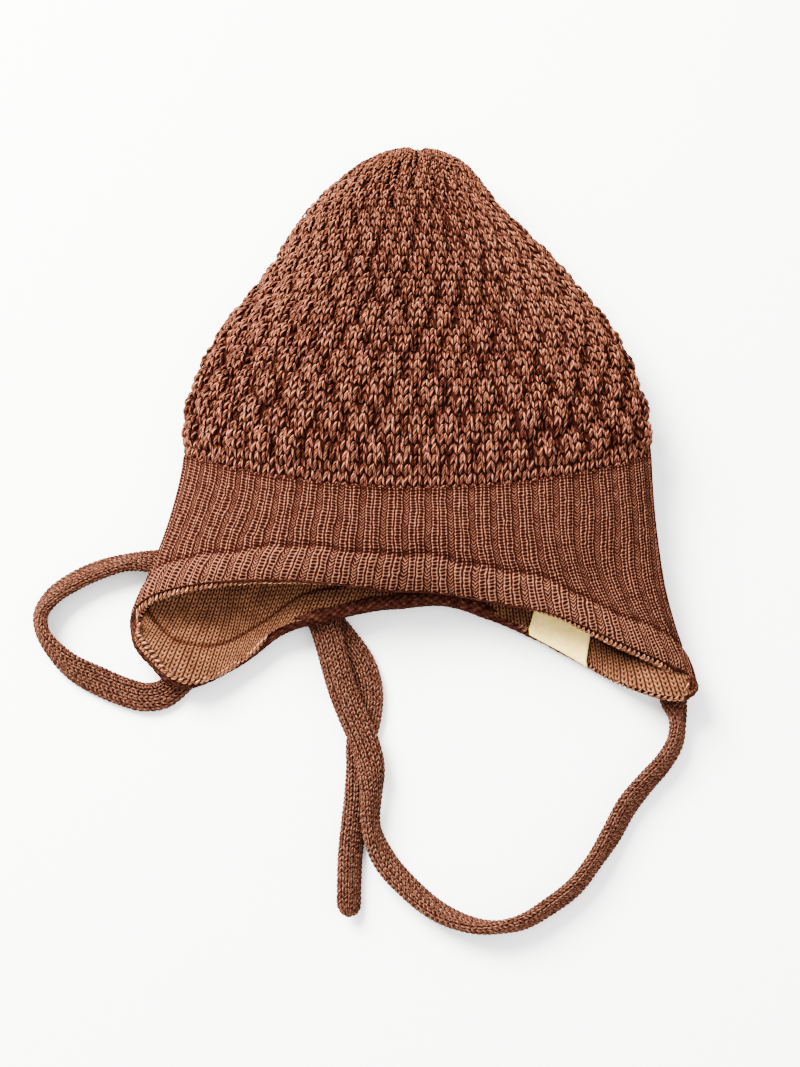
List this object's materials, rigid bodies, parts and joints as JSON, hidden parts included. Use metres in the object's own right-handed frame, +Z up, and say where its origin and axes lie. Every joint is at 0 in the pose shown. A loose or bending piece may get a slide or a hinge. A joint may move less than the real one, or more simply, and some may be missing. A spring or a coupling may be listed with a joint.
{
  "type": "baby bonnet",
  "caption": "Knitted baby bonnet with a bubble-stitch crown, ribbed band with ear flaps, fine-rib lining and two long ties, lying flat with its mouth ajar.",
  "frame": {"origin": "under the middle of the bonnet's own box without its ties, on the table that it lies on", "axes": "+Z up, through the flat-lying bonnet's thickness; +Y from the mouth to the crown's tip; +X across the bonnet"},
  "size_m": [0.2348, 0.2941, 0.0389],
  "materials": {
    "crown": "rust-brown marled yarn, raised bubble stitch, matte",
    "band": "rust-brown marled yarn, ribbed, matte",
    "lining": "caramel yarn, fine rib, matte",
    "left_tie": "rust-brown flat tube knit, matte",
    "right_tie": "rust-brown flat tube knit, matte",
    "label": "cream woven tape, plain, matte"
  },
  "bodies": {
    "root": {"crown": "crown", "band": "band", "lining": "lining", "left_tie": "left_tie", "right_tie": "right_tie", "label": "label"}
  },
  "joints": []
}
